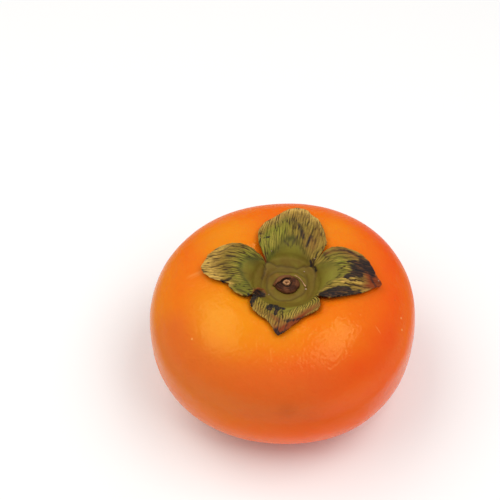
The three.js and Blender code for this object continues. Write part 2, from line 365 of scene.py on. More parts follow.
skinLook = {
    "golden": (0.775, 0.25, 0.006),
    "red": (0.785, 0.064, 0.004),
    # the lower skin, painted brighter as painted light from the floor below
    "low": (0.965, 0.136, 0.02),
    # painted shade: the duller, darker band below the shoulders in front
    "paintedShadeBand": (0.64, 0.116, 0.025),
    "olive": (0.77, 0.21, 0.022),
    "bruise": (0.48, 0.06, 0.005),
    "speck": (0.42, 0.06, 0.004),
    "pale": (0.85, 0.42, 0.12),
    "blossom": (0.3, 0.075, 0.012),
    # Places, lengths and widths are in millimetres. A spot is (middle, where it starts, where it
    # is full, share). A part is a list of fades along the axes that are multiplied, each
    # (axis, from, to) and where it isn't 0 to 1, the values it goes between.
    "goldenMiddle": 0.24,
    "goldenFall": -6,         # to the right, each metre
    "goldenClouds": 0.3,
    "goldenParts": [
        [("Z", 41, 50), ("Y", -30, -19, 0.3, 1), ("X", 8, -5, 0.35, 0.12)],      # the crown
        [("X", 31, 38, 0, 0.27)],
        [("X", -29, -37, 0, 0.25)],
        [("Y", 11, 22, 0, 0.05), ("X", 26, 12)],
        [("Z", 45, 37, 0, 0.14), ("X", 10, 26)],
    ],
    # the first spot is partly the skin's golden tone and partly a painted highlight under the left
    # softbox;
    # the last spot is a painted highlight that yellows the skin under the right softbox's reflection
    "goldenSpotsAndPaintedHighlights": [((-13, -14, 49), 24, 3, 0.5), ((-17.5, 13, 49.5), 15, 2, 0.42),
                    ((15.5, 17, 49.5), 10, 2, 0.22), ((1, -21.5, 48.4), 10, 1, 0.2),
                    ((15, -19.5, 48), 13, 2, 0.1)],
    # laid over the golden and the red in turn: a duller band below the shoulders in front as painted
    # shade, the lower skin, painted brighter as painted light from below, and the lower left
    "layers": [
        # painted shade: the front below the shoulders is darkened where the light falls off
        ("paintedShadeBand", [[("Z", 49, 43.5, 0, 0.5), ("Y", -6, -16), ("X", 26, 8, 0.2, 1), ("Z", 26, 37)]]),
        # painted light: the lower skin is made brighter, standing in for fill light from below
        ("low", [[("Z", 37, 19, 0, 0.85)], [("Z", 44, 34, 0, 0.45), ("X", 4, 18)]]),
        ("olive", [[("X", 12, -30, 0, 0.55), ("Z", 46, 30)]]),
    ],
    "bruiseSpot": ((2.5, -37.6, 36.2), 4.5, 0.5, 0.25),
    "blossomSpot": ((0.3, -0.2, 1), 6.2, 1, 0.85),
    "mottling": 0.16,
    "speckShare": 0.45,
    "dots": [(-25.8, -20.3, 45), (35.2, -7.9, 42), (35.5, -11.2, 40.7)],
    "dotSpot": (0.45, 0.15, 0.7),
    # rubbed streaks and one painted sheen streak: middle, run, half length, half width, share
    "rubsAndSheen": [((-26.5, 1.1, 47.4), (5.9, 2, 2.2), 3.4, 0.8, 0.2),
             ((-26.2, 0.2, 47.3), (5.9, 2.6, 2.2), 2.6, 0.5, 0.16),
             # painted sheen: a pale streak down the right side, standing in for a reflection
             ((36.6, 11, 39.3), (3, -2.5, -3.6), 3, 0.6, 0.35),
             ((28.1, -14.8, 45.6), (1.9, -2, -1.6), 1.8, 0.3, 0.25)],
    "pimples": [(13.8, -17.4, 49.9), (2.5, -37.6, 36.6)],
    "pimpleSpot": (0.8, 0.08, 0.7),
    "roughness": 0.16,
    "roughSwing": (-0.04, 0.05),
    "bloom": (44, 26, 0.05),    # height where it starts, where it is full, and how much rougher
    "poreDepth": 0.13,
    "poreShare": 0.6,
    "slowWaves": 1.6,
    "gloss": (0.32, 0.01),      # facing and edge on
    "rimGloss": 0.16,           # added edge on, on these waxy parts: the left, low in front, the right
    "waxy": [[("X", 5, -30, 0, 0.5), ("Z", 44, 34), ("Y", 18, 4)],
             [("Z", 34, 14, 0, 0.6), ("Y", 12, -8), ("X", 36, 18, 0.8, 1)],
             [("X", 20, 34), ("Z", 40, 30), ("Y", 4, -8)]],
}


def outlineRadius(angle):
    share = 1 + sum(d * cos(n * (angle - radians(crest))) for n, d, crest in fruitShape["waves"])
    return fruitShape["radius"] * share


def crownHeight(x, y):
    # skin of the crown over a point inside the outline
    s = fruitShape
    fromX, fromY = x - s["axis"][0], y - s["axis"][1]
    angle = atan2(fromY, fromX)
    share = min(1, hypot(fromX, fromY) / outlineRadius(angle))
    dome = s["crown"] * (1 - share ** s["crownPower"]) ** (1 / s["crownPower"])
    reach = min(1, hypot(x - s["stalk"][0], y - s["stalk"][1]) / s["hollowRadius"])
    hollow = s["hollowDepth"] * (1 + cos(pi * reach)) / 2
    ring = sin(pi * min(1, max(0, (share - 0.2) / 0.8))) ** 2
    shoulders = s["shoulderRise"] * ring * cos(4 * (angle - radians(s["shoulderAim"])))
    return s["belly"] + dome - hollow + shoulders


def squaredRound(direction, height, power):
    across, along = cos(direction), sin(direction) * fruitShape["radius"] / height
    reach = (across ** power + along ** power) ** (-1 / power)
    return across * reach, along * reach


def fruitPoint(direction):
    s = fruitShape
    angle = atan2(direction.y, direction.x)
    climb = asin(min(1, abs(direction.z)))
    roundBelly = s["belly"] + s["flatCut"]
    if direction.z >= 0:
        share, rise = squaredRound(climb, s["crown"], s["crownPower"])
    else:
        share, drop = squaredRound(climb, roundBelly, s["bellyPower"])
    reach = share * outlineRadius(angle)
    x, y = around(s["axis"], angle, reach)
    if direction.z >= 0:
        z = crownHeight(x, y)
        (midX, midY), (runX, runY), length, width, depth = s["valley"]
        run = (x - midX) * runX + (y - midY) * runY
        off = (x - midX) * runY - (y - midY) * runX
        z -= depth * hump(run, 0, length) * hump(off, 0, width)
    else:
        flat = reach / s["dimpleRadius"]
        z = max(0, s["belly"] - drop * roundBelly)
        if flat < 1:
            z = alongSoft(s["dimple"], flat, 0.1) * smooth(1 - flat, 0, 0.12)
        grooves = max(0, cos(4 * (angle - radians(s["grooveAim"])))) ** 6
        z += s["groove"] * grooves * smooth(flat, 0.4, 1.2) * (1 - smooth(share, 0.3, 0.7))
    # soft unevenness, none where it rests
    rest = smooth(z, 1, 9)
    swell = wobble(x / 17, y / 17, z / 17) + 0.35 * wobble(x / 7, y / 7, z / 7 + 9)
    outward = Vector((x * 0.8, y * 0.8, z - s["swellHeart"])).normalized()
    return Vector((x, y, z)) + outward * (s["swell"] * swell * rest)


def skinMaterial():
    look = skinLook
    material, net, shader, place = newMaterial("persimmonSkin", look["roughness"], look)
    axes = net.add("ShaderNodeSeparateXYZ", Vector=place).outputs
    cloud = net.group(clouds, Vector=place, Scale=38, Contrast=1.5)

    def spot(middle, start, full, share):
        away = net.vectors("DISTANCE", place, Vector(middle) * mm, "Value")
        return net.fade(away, start * mm, full * mm, 0, share)

    def part(fades):
        return net.times(*(net.fade(axes[axis], start * mm, end * mm, *ends)
                           for axis, start, end, *ends in fades))

    def greatest(parts):
        share, *others = [part(fades) for fades in parts]
        for other in others:
            share = net.maths("MAXIMUM", share, other)
        return share

    # golden towards the front left and the crown, redder to the right and low down
    golden = net.plus(look["goldenMiddle"], net.times(axes["X"], look["goldenFall"]))
    golden = net.plus(golden, *(part(fades) for fades in look["goldenParts"]))
    # these spots include painted highlights where the softboxes are mirrored
    golden = net.plus(golden, *(spot(*settings) for settings in look["goldenSpotsAndPaintedHighlights"]))
    golden = net.plus(golden, net.times(net.aboutHalf(cloud), look["goldenClouds"]), clamp=True)
    colour = net.blend(golden, "red", "golden")
    for name, parts in look["layers"]:
        colour = net.blend(greatest(parts), colour, name)
    colour = net.blend(spot(*look["bruiseSpot"]), colour, "bruise")
    # tanned dimple at the blossom end
    dimple = net.times(spot(*look["blossomSpot"]), net.fade(cloud, 0.1, 0.6, 0.6, 1))
    colour = net.blend(dimple, colour, "blossom")
    # mottling and small dark specks
    mottle = net.group(clouds, Vector=place, Scale=260, Contrast=1.7)
    greys = net.blend(mottle, (0.35, 0.35, 0.35), (0.62, 0.62, 0.62))
    colour = net.blend(look["mottling"], colour, greys, "OVERLAY")
    spots = net.group(specks, Vector=place, Scale=330, Size=0.11, Share=0.1)
    colour = net.blend(net.times(spots, look["speckShare"]), colour, "speck")
    for dot in look["dots"]:
        colour = net.blend(spot(dot, *look["dotSpot"]), colour, "pale")
    # pale rubs, and on the right a painted sheen
    for middle, run, length, width, share in look["rubsAndSheen"]:
        run = Vector(run).normalized()
        offset = net.vectors("SUBTRACT", place, Vector(middle) * mm)
        along = net.maths("ABSOLUTE", net.vectors("DOT_PRODUCT", offset, run, "Value"))
        off = net.vectors("LENGTH", net.vectors("CROSS_PRODUCT", offset, run), output="Value")
        rubAndSheenShare = net.times(net.fade(along, length * mm, length * mm * 0.3),
                        net.fade(off, width * mm, width * mm * 0.2), share)
        colour = net.blend(rubAndSheenShare, colour, "pale")
    net.put(shader, "Base Color", colour)
    # gloss wanders a little, and is duller low down
    low, high = (look["roughness"] + swing for swing in look["roughSwing"])
    rough = net.fade(net.noise(place, 120, 3), 0.25, 0.75, low, high)
    start, full, more = look["bloom"]
    net.put(shader, "Roughness", net.plus(rough, net.fade(axes["Z"], start * mm, full * mm, 0, more)))
    facing = net.add("ShaderNodeLayerWeight", Blend=0.5).outputs["Facing"]
    rim = net.times(greatest(look["waxy"]), net.fade(facing, 0.45, 0.75, 0, look["rimGloss"]))
    net.put(shader, "Specular IOR Level", net.plus(net.fade(facing, 0.18, 0.56, *look["gloss"]), rim))
    shader.inputs["Specular Tint"].default_value = (0.95, 0.8, 0.3, 1)
    # fine pits as on orange peel, over slow waves
    pits = net.add("ShaderNodeTexVoronoi", {"feature": "SMOOTH_F1"}, Vector=place, Scale=1250)
    height = net.plus(net.times(pits.outputs["Distance"], look["poreShare"]), net.noise(place, 620, 3),
                      net.times(net.noise(place, 170), look["slowWaves"]),
                      *(spot(pimple, *look["pimpleSpot"]) for pimple in look["pimples"]))
    net.bump(shader, 1, look["poreDepth"] * mm, height)
    shader.inputs["Subsurface Weight"].default_value = 0.3
    shader.inputs["Subsurface Radius"].default_value = (1, 0.28, 0.08)
    shader.inputs["Subsurface Scale"].default_value = 0.003
    return material


fruit = newBall(fruitShape, fruitPoint)
finishPiece(fruit, "persimmonFruit", skinMaterial(), "fruit")


# ---- the calyx ----

calyxShape = {
    "gap": 0.3,
    "rimRadius": 9.7,
    "discReach": 12.5,       # no ring is felt beyond it
    "rimStretch": 0.06,
    "rimStretchAim": 260,
    "squareness": 0.05,
    "seatHeight": 3.2,
    "rimLift": 0.5,
    "rimThickness": 1,
    "lipRise": 0.7,
    "lipAim": 264,
    "edgeThickness": 0.75,
    "edgeLift": 0.35,        # how far the outermost edge stands off the skin
    "padRise": 0.25,         # of the fleshy tongues, which end in a soft step
    "terraces": [(0, 0), (0.46, 0), (0.6, 0.05), (0.65, 0), (0.74, 0.35), (0.84, 0.55), (1, 1)],
    "archPower": 0.58,
    "wall": 2.6,             # thickness in the middle of the disc
    "discRows": 24,
    "lobeRows": 56,
    "columns": 136,
    "wrinkleEvery": 0.8,
    "wrinkleDepth": 0.16,
    # rings round the scar: (direction in degrees, distance from the stalk), then the depth and width
    # of the groove, how dark its painted shade is, and the direction and spread where it fades out
    "rings": [
        ([(26, 6.5), (52, 5.8), (91, 4.9), (133, 5.9), (151, 6.35), (178, 5.9), (196, 5.9), (213, 5.75),
          (244, 5.85), (273, 5.35), (308, 5.15), (340, 5.8)], 0.28, 0.42, 0.75, None),
        ([(8, 8.4), (22, 9.1), (38, 9.6), (49, 8.3), (65, 6.75), (89, 6.6), (112, 7.1), (133, 9.3),
          (142, 8.6), (158, 7.5), (177, 7.4), (200, 7.7), (270, 8.6), (347, 8.2)],
         0.38, 0.42, 0.8, (272, 75)),
        ([(0, 7.4), (60, 6.2), (90, 5.75), (140, 7), (180, 6.7), (270, 6.3)], 0.1, 0.25, 0.35, (272, 90)),
        ([(0, 7), (90, 7.4), (180, 7.4), (270, 7.4)], 0.1, 0.16, 0.4, (180, 125)),
        ([(0, 7.8), (90, 8), (180, 8), (270, 8)], 0.08, 0.14, 0.3, (180, 125)),
    ],
}

# u runs across a lobe from -1 on its clockwise side to 1, v along it from 0 at the rim to 1.
# "tongue" is the smooth fleshy base: [u, v where it ends]. "marks" are soft spots of each kind:
# (u, v, spread across, spread along, strength).
lobes = [
    {   # right
        "aim": 4, "from": -30, "to": 36, "sides": (7.8, 9.6), "bulge": (1.2, 1.7),
        "arch": 2.3, "droop": 0.6, "tipLift": 0.5, "folds": [(0.45, 0.3, 0.5), (-0.35, 0.3, -0.45)],
        "edge": [(-1, 14), (-0.9, 18.4), (-0.8, 21.2), (-0.65, 23.3), (-0.5, 24.9), (-0.38, 26.2),
                 (-0.3, 27.7), (-0.2, 28.2), (-0.08, 28), (0.05, 27.1), (0.2, 26.5), (0.4, 25.8),
                 (0.6, 24.8), (0.8, 23.1), (0.93, 20.8), (1, 17)],
        "tongue": [(-1, -0.06), (-0.7, 0.04), (-0.35, 0.24), (0.1, 0.3), (0.5, 0.26), (0.8, 0.08),
                   (1, -0.06)],
        "green": 0.4, "fleshGreen": (0.42, 0.68), "pale": 0.25, "even": 0.5, "ridges": 0.8, "blur": 0.14,
        "marks": {"rust": [(0.15, 0.85, 0.6, 0.24, 0.7), (-0.25, 0.97, 0.3, 0.16, 1.1),
                           (0.85, 0.5, 0.22, 0.4, 0.25), (-0.9, 0.62, 0.16, 0.4, 0.55)],
                  "shade": [(0.8, 0.55, 0.22, 0.4, 0.45)],
                  "green": [(0.45, 0.42, 0.4, 0.16, 0.7), (-0.2, 0.4, 0.3, 0.14, 0.5)]},
    },
    {   # top
        "aim": 85.5, "from": 36, "to": 133, "sides": (10.5, 10.3), "bulge": (0.8, 1.1),
        "arch": 2.4, "droop": 0.5, "tipLift": 0.3, "folds": [(-0.05, 0.25, -0.6), (0.5, 0.3, 0.3)],
        "edge": [(-1, 13.2), (-0.9, 17.3), (-0.8, 20), (-0.68, 22.9), (-0.55, 24.1), (-0.44, 25.1),
                 (-0.36, 27.1), (-0.2, 28), (0, 28.5), (0.2, 27.6), (0.36, 25.9), (0.5, 23.9),
                 (0.65, 21.7), (0.8, 20.1), (0.92, 17.9), (1, 15.2)],
        "tongue": [(-1, -0.06), (-0.75, -0.02), (-0.4, 0.06), (0, 0.15), (0.2, 0.14), (0.6, 0.03),
                   (0.85, -0.02), (1, -0.06)],
        "green": 0.3, "fleshGreen": (0.3, 0.7), "pale": 0.6, "even": 0.55, "ridges": 0.6, "blur": 0.1,
        "marks": {"green": [(0.85, 0.2, 0.28, 0.3, 1.3), (0.6, 0.45, 0.3, 0.3, 0.7),
                            (0.25, 0.45, 0.25, 0.3, 0.4)],
                  "rust": [(-0.55, 0.28, 0.35, 0.25, 0.35), (-0.8, 0.65, 0.25, 0.4, 0.3)],
                  "shade": [(-0.45, 0.35, 0.45, 0.3, 0.4), (0.08, 0.21, 0.25, 0.06, 0.7)],
                  "pale": [(-0.1, 0.98, 0.5, 0.1, 0.8)]},
    },
    {   # left
        "aim": 172.5, "from": 133, "to": 212, "sides": (8.6, 9.2), "bulge": (0.7, 0.9),
        "arch": 2.2, "droop": 0.6, "tipLift": 0.4, "folds": [(0.1, 0.3, -0.4), (-0.6, 0.3, 0.4)],
        "edge": [(-1, 17.5), (-0.9, 20.4), (-0.75, 22.4), (-0.6, 23.7), (-0.45, 24.6), (-0.2, 25.3),
                 (-0.05, 25.8), (0.08, 25.7), (0.2, 25.1), (0.33, 23.9), (0.47, 22.1), (0.57, 20.1),
                 (0.64, 15.6), (0.71, 16.4), (0.82, 15.6), (0.93, 13.8), (1, 11.6)],
        "tongue": [(-1, -0.06), (-0.7, 0.08), (-0.3, 0.2), (0.1, 0.22), (0.5, 0.18), (0.8, 0.06),
                   (1, -0.06)],
        "green": 0.62, "fleshGreen": (0.28, 0.42), "pale": 0.8, "even": 0.5, "ridges": 0.5, "blur": 0.12,
        "marks": {"green": [(-0.45, 0.24, 0.45, 0.12, 0.6), (0.75, 0.5, 0.3, 0.5, 0.35),
                            (0.85, 0.85, 0.25, 0.35, 0.55)],
                  "shade": [(-0.6, 0.14, 0.35, 0.1, 0.9), (0.85, 0.55, 0.3, 0.45, 0.5)],
                  "pale": [(0.1, 0.92, 0.6, 0.2, 1.2), (0.57, 0.96, 0.1, 0.06, 0.8),
                           (0.86, 0.97, 0.22, 0.25, -0.75)],
                  "rust": [(-0.5, 0.55, 0.5, 0.35, 0.15)]},
    },
    {   # bottom
        "aim": 264.5, "from": 212, "to": 330, "sides": (9.3, 10.3), "bulge": (0.5, 1),
        "arch": 0.9, "droop": 0.5, "tipLift": 0.25, "folds": [(-0.85, 0.16, 0.9), (0.3, 0.3, 0.3)],
        "edge": [(-1, 11), (-0.92, 12.8), (-0.8, 14), (-0.65, 14.8), (-0.5, 15.4), (-0.35, 16.4),
                 (-0.2, 18.2), (-0.1, 19.7), (0.02, 20.6), (0.15, 19.6), (0.3, 17.7), (0.45, 15.7),
                 (0.6, 13.7), (0.75, 12.1), (0.88, 11.1), (1, 10.2)],
        "tongue": [(-1, -0.06), (-0.55, -0.02), (-0.3, 0.06), (-0.08, 0.2), (0.12, 0.12), (0.4, 0),
                   (1, -0.06)],
        "green": 0.5, "fleshGreen": (0.3, 0.75), "pale": 0.35, "even": 0.8, "ridges": 0.85, "blur": 0.04,
        "marks": {"rust": [(0.24, 0.93, 0.36, 0.17, 1.9), (0.5, 0.62, 0.9, 0.3, 0.36),
                           (0.75, 0.7, 0.3, 0.3, 0.34), (-0.2, 0.6, 0.3, 0.12, 0.4)],
                  "char": [(0.05, 1, 0.2, 0.08, 0.9)],
                  "pale": [(0.45, 0.45, 0.35, 0.25, 0.3)],
                  "green": [(0.5, 0.35, 0.4, 0.25, 0.4)]},
    },
]

# marks drawn as strokes: (kind, half width, strength, rise, then paths of x and y from the stalk)
strokes = [
    # tan halo of the scar
    ("rust", 1.2, 0.42, 0, [(-3, 3.8)]), ("rust", 0.8, 0.5, 0, [(-4.1, -1.2)]),
    ("rust", 1, 0.32, 0, [(3.1, 4.2)]),
    # splits in the notches between the lobes
    ("line", 0.28, 1, -0.12, [(-7, 5.8), (-6.5, 5.3), (-6.7, 3.6), (-7.4, 1.4)]),
    ("rust", 0.35, 0.9, -0.2, [(-7.1, 8), (-6.7, 7.1), (-6.6, 6.9)]),
    ("char", 0.4, 1, -0.3, [(-11, -7.1), (-9.8, -7.4)]),
    ("char", 0.36, 1, -0.35, [(6.8, 7.2), (7.3, 6.2)]), ("char", 0.28, 1, -0.3, [(8.2, 5.3), (8.8, 3.9)]),
    ("line", 0.22, 0.9, 0, [(7.7, 7.2), (7.8, 6.1)]), ("rust", 0.3, 0.45, 0, [(8.7, 3.5), (8.7, 2.4)]),
    # painted shade: a broad soft darkening on the disc along its left crease
    ("line", 0.5, 0.35, 0, [(-7.2, 2.6), (-7.9, -0.5), (-7.6, -2)]),
    # rolled ear at the lower left
    ("rust", 0.45, 0.6, 0.85,
     [(-9.6, -7), (-9.4, -5.6), (-9, -4.2), (-7.9, -2.7), (-6.7, -2.6), (-6, -3.7)]),
    ("char", 1.25, 1.3, -0.75, [(-8.1, -4.9), (-7.3, -4.3)]), ("rust", 1.9, 0.4, 0, [(-8, -4.4)]),
    ("char", 0.75, 1.3, -0.15, [(-8, -5.2), (-8.7, -6.8), (-9.4, -8.8), (-9.9, -10), (-10.2, -11.2)]),
    # bottom lobe
    ("char", 0.6, 1.25, 0, [(-4, -9.6), (-4.3, -11.6)], [(-2.8, -9.4), (-2.4, -11.6), (-2.9, -13.4)]),
    ("char", 0.55, 1.1, -0.05, [(-1.7, -10.9), (-0.4, -11.3)]),
    ("char", 0.55, 0.8, 0, [(-5, -10.3), (-5.3, -11.4)]),
    ("line", 0.25, 1, -0.1, [(-0.9, -11.4), (-0.8, -14.8)]),
    ("shade", 0.9, 0.5, 0, [(-5.5, -12.5), (-3.5, -14.5)]),
    ("char", 0.6, 0.6, -0.05, [(-0.2, -15.9), (2.4, -15.4), (5.2, -14.2)]),
    ("char", 0.35, 0.5, 0, [(-1.6, -14), (-2, -19.4)]),
    ("char", 0.3, 0.45, 0, [(1.2, -14.6), (0, -18.6)]),
    ("char", 0.55, 0.6, 0, [(-2.6, -18.6), (-1.4, -20.6)]),
    # right lobe
    ("pale", 0.4, 0.9, 0.1, [(18.2, -0.7), (19.5, -0.3), (20.3, 0.1)]),
    ("pale", 0.45, 1, 0.12, [(16.1, -2), (18.7, -1.3), (20.2, -1.3), (21.9, -1.3)]),
    ("pale", 0.35, 0.4, 0.1, [(13.4, -2.2), (15.2, -1.2), (17.3, -0.5)]),
    ("line", 0.25, 1, -0.1, [(16.7, -0.6), (18.9, -1.2), (21, -0.5), (22.6, -0.4)]),
    ("line", 0.3, 1.1, -0.15, [(17.2, -2.5), (19.1, -2.6), (20.7, -2.3), (22.4, -2.3), (24.2, -2.1)]),
    ("line", 0.2, 0.9, -0.05, [(14.5, -0.8), (15.5, 0.1)], [(15.8, 2.2), (17.1, 3)]),
    ("line", 0.2, 0.8, -0.05, [(14.8, 1.3), (15.3, 1.8)]),
    ("line", 0.2, 0.7, -0.05, [(11.7, -2.3), (13.3, -1.3)]),
    ("char", 2.2, 1.25, 0, [(20.6, 2.6), (21.6, 4.4), (23.2, 5.2)]),
    ("char", 1.1, 0.7, 0, [(22.5, 6.9), (24.4, 6.7), (25.4, 4.6), (25.4, 2.6)]),
    ("char", 0.5, 0.9, 0, [(17.7, 4.7), (20.1, 5.6)]),
    ("char", 0.65, 1, 0, [(17.2, -0.4), (19.5, 0.6), (21.5, 1.5)]),
    ("char", 0.85, 1.3, 0, [(10.3, -5.6), (13.5, -5), (15.2, -4.4), (18, -4.2)]),
    ("char", 1, 0.85, 0, [(11.5, -6.6), (14.5, -6.4), (17.8, -6.4)]),
    ("char", 1.2, 0.8, 0, [(19.5, -5.2), (21.3, -4.4)]),
    ("char", 0.75, 0.6, 0, [(15.1, 9.4), (17.3, 9.6), (18.9, 9.3), (20.4, 8.7), (22.5, 7.8)]),
    ("rust", 0.8, 0.25, 0, [(11.6, 8.3), (14.2, 9.4), (17.3, 9.6), (20.4, 8.7)]),
    # painted highlight: a pale line along the crest of the fold where it catches the light
    ("pale", 0.35, 0.3, 0.22, [(6.9, -2.8), (9.7, -4.2), (11.4, -3.9), (15.2, -2.8)]),
    ("shade", 1, 0.4, -0.1, [(13.1, 3.5), (10.4, 3.9)]),
    ("char", 0.55, 0.6, 0, [(25, 1.2), (26.2, -0.7)]),
    # top lobe
    ("char", 1, 0.66, -0.15, [(2.9, 18.6), (4.4, 13.4)]),
    ("char", 0.7, 0.66, -0.1, [(7, 14), (5.5, 10.9)]),
    ("char", 0.55, 0.5, 0, [(-1.2, 12.2), (0.9, 10.8), (1.8, 12.4), (2.6, 13.6)]),
    ("char", 0.28, 0.75, 0, [(-8.5, 14.5), (-7.6, 14.3)], [(-6.8, 13.6), (-5.9, 13.1)]),
    ("char", 0.25, 0.7, 0, [(-7.5, 12.6), (-5.4, 13.4)], [(-3.9, 15.6), (-3.5, 15.3)]),
    ("line", 0.28, 0.6, -0.1, [(0.8, 21.9), (1.4, 13.2)]),
    ("pale", 0.8, 0.9, 0, [(-0.1, 27.2), (2.4, 28.4), (5.5, 25.9)]),
    ("shade", 0.8, 0.4, 0, [(-5.7, 7.9), (-3.5, 9.8), (-1.1, 10.9)]),
    # left lobe
    ("char", 0.6, 0.5, 0, [(-20.2, 7.3), (-16.4, 9.6)]),
    ("char", 0.5, 0.5, 0, [(-18.5, 4.7), (-15.7, 4.9)]),
    ("char", 0.35, 0.48, 0, [(-12.3, 5.1), (-11.1, 5.9)]),
    ("line", 0.3, 0.5, 0, [(-15.8, -1), (-11.7, 0)]),
    ("line", 0.34, 1.3, -0.3, [(-19.2, -2.9), (-17.3, -2.9), (-16.4, -2.4)]),
    ("char", 0.3, 0.9, 0, [(-19.4, -3), (-17.3, -2.9)]),
    ("shade", 0.7, 0.5, 0, [(-13.9, 2.4), (-13.1, -0.5), (-11.4, -4)]),
]

calyxLook = {
    "fleshGreen": (0.225, 0.205, 0.022),
    "fleshOlive": (0.142, 0.074, 0.011),
    "leafGreen": (0.185, 0.195, 0.017),
    "khaki": (0.255, 0.148, 0.02),
    "straw": (0.64, 0.395, 0.085),
    "line": (0.042, 0.021, 0.009),
    # crevice also gives the painted shade of the disc's ring grooves
    "crevice": (0.08, 0.048, 0.009),
    "shade": (0.07, 0.066, 0.012),
    "char": (0.008, 0.009, 0.013),
    "scorched": (0.165, 0.066, 0.024),
    "rust": (0.205, 0.024, 0.007),
    "tan": (0.25, 0.098, 0.024),
    "charShare": 0.95,
    "speckShare": 0.6,
    "roughness": (0.66, 0.5),   # papery and fleshy
    "fibreDepth": 0.12,
}

seatTop = crownHeight(*fruitShape["stalk"]) + calyxShape["seatHeight"]


def rimReach(angle):
    s = calyxShape
    return s["rimRadius"] * (1 + s["rimStretch"] * cos(angle - radians(s["rimStretchAim"])))


def underside(x, y, lift):
    return crownHeight(x, y) + calyxShape["gap"] + lift


def fromStalk(angle, reach):
    return around(fruitShape["stalk"], angle, reach)


def aroundList(points, angle):
    # smooth round a closed list of [degrees, value]
    turn = (angle * 180 / pi) % 360
    closed = [(points[-1][0] - 360, points[-1][1]), *points, (points[0][0] + 360, points[0][1])]
    for (a0, value0), (a1, value1) in zip(closed, closed[1:]):
        if a0 <= turn <= a1:
            return mix(value0, value1, smooth(turn, a0, a1))


def discRelief(dx, dy):
    # rise over the plain disc from its rings, and the painted shade of their grooves
    angle, reach = atan2(dy, dx), hypot(dx, dy)
    rise, dark = 0, 0
    if reach > calyxShape["discReach"]:
        return rise, dark
    for ring, deep, width, tone, fading in calyxShape["rings"]:
        off = reach - aroundList(ring, angle) + 0.1 * wobble(3 * cos(angle), 3 * sin(angle), deep * 9)
        here = hump(off, 0, width)
        if fading:
            aim, spread = fading
            here *= 1 - hump((angle * 180 / pi - aim + 180) % 360 - 180, 0, spread)
        rise -= deep * here
        dark = max(dark, here * tone)
    return rise, dark


def strokeBox(width, path):
    # where the stroke can be felt
    reach = 2.5 * width
    xs, ys = zip(*path)
    return min(xs) - reach, min(ys) - reach, max(xs) + reach, max(ys) + reach


boxedStrokes = [(strokeBox(width, path), kind, width, strength, rise, path)
                for kind, width, strength, rise, *paths in strokes for path in paths]


def pathDistance(path, x, y):
    # a path of one point is a round spot
    nearest = 99
    for (x0, y0), (x1, y1) in zip(path, path[1:] or path):
        runX, runY = x1 - x0, y1 - y0
        share = ((x - x0) * runX + (y - y0) * runY) / (runX * runX + runY * runY or 1)
        share = min(1, max(0, share))
        nearest = min(nearest, hypot(x - x0 - share * runX, y - y0 - share * runY))
    return nearest


def addStrokes(dx, dy, masks):
    # adds the strokes to the masks and returns their rise
    dx, dy = dx + 0.22 * wobble(dx * 1.3, dy * 1.3, 6), dy + 0.22 * wobble(dx * 1.3, dy * 1.3, 16)
    total = 0
    for (lowX, lowY, highX, highY), kind, width, strength, rise, path in boxedStrokes:
        if lowX < dx < highX and lowY < dy < highY:
            here = hump(pathDistance(path, dx, dy), 0, width)
            masks[kind] += strength * here
            total += rise * here
    return total


def discPoint(angle, share):
    s = calyxShape
    square = 1 + s["squareness"] * sin(pi * share) * cos(4 * (angle - radians(45)))
    x, y = fromStalk(angle, share * rimReach(angle) * square)
    lip = s["lipRise"] * max(0, cos(angle - radians(s["lipAim"]))) ** 4
    rimTop = underside(*fromStalk(angle, rimReach(angle)), s["rimLift"]) + s["rimThickness"] + lip
    top = mix(seatTop, rimTop, alongSoft(s["terraces"], share, 0.035))
    bottom = underside(x, y, s["rimLift"] * smooth(share, 0.75, 1))
    return x, y, top, bottom


def lobeEdge(lobe, u, v):
    # the far edge, ragged with small tears
    seed = lobe["aim"]
    rag = 0.22 * wobble(u * 9, seed) + 0.16 * wobble(u * 24, seed, 5)
    rag -= 0.25 * max(0, wobble(u * 15, seed, 2)) ** 2
    return alongSoft(lobe["edge"], u, 0.03) + rag * v


def lobePoint(lobe, u, v):
    s = calyxShape
    aim = radians(lobe["aim"])
    start = radians(mix(lobe["from"], lobe["to"], (u + 1) / 2))
    rim = rimReach(start)
    side = 0 if u < 0 else 1
    sign = -1 if u < 0 else 1
    bow = abs(lobe["bulge"][side] * u ** 3 * sin(pi * v)) * sign
    fray = 0.2 * wobble(v * 9, lobe["aim"], sign * 3) * u ** 8 * smooth(v, 0.05, 0.3)
    forward = mix(rim * cos(start - aim), lobeEdge(lobe, u, v), v)
    across = mix(rim * sin(start - aim), u * lobe["sides"][side], v) + bow + fray
    x, y = fromStalk(aim + atan2(across, forward), hypot(across, forward))
    arch = lobe["arch"] * sin(pi * v ** s["archPower"]) * (1 - lobe["droop"] * u * u)
    folds = sum(height * hump(u, at, spread) for at, spread, height in lobe["folds"])
    lift = s["rimLift"] * (1 - smooth(v, 0, 0.6)) + arch + folds * sin(pi * v) + lobe["tipLift"] * v ** 3
    bottom = underside(x, y, max(0, lift))
    lip = s["lipRise"] * max(0, cos(start - radians(s["lipAim"]))) ** 4 * (1 - smooth(v, 0, 0.22))
    bottom += s["edgeLift"] * max(smooth(v, 0.8, 1), smooth(abs(u), 0.75, 1) * smooth(v, 0.1, 0.4))
    return x, y, bottom + mix(s["rimThickness"], s["edgeThickness"], v) + lip, bottom


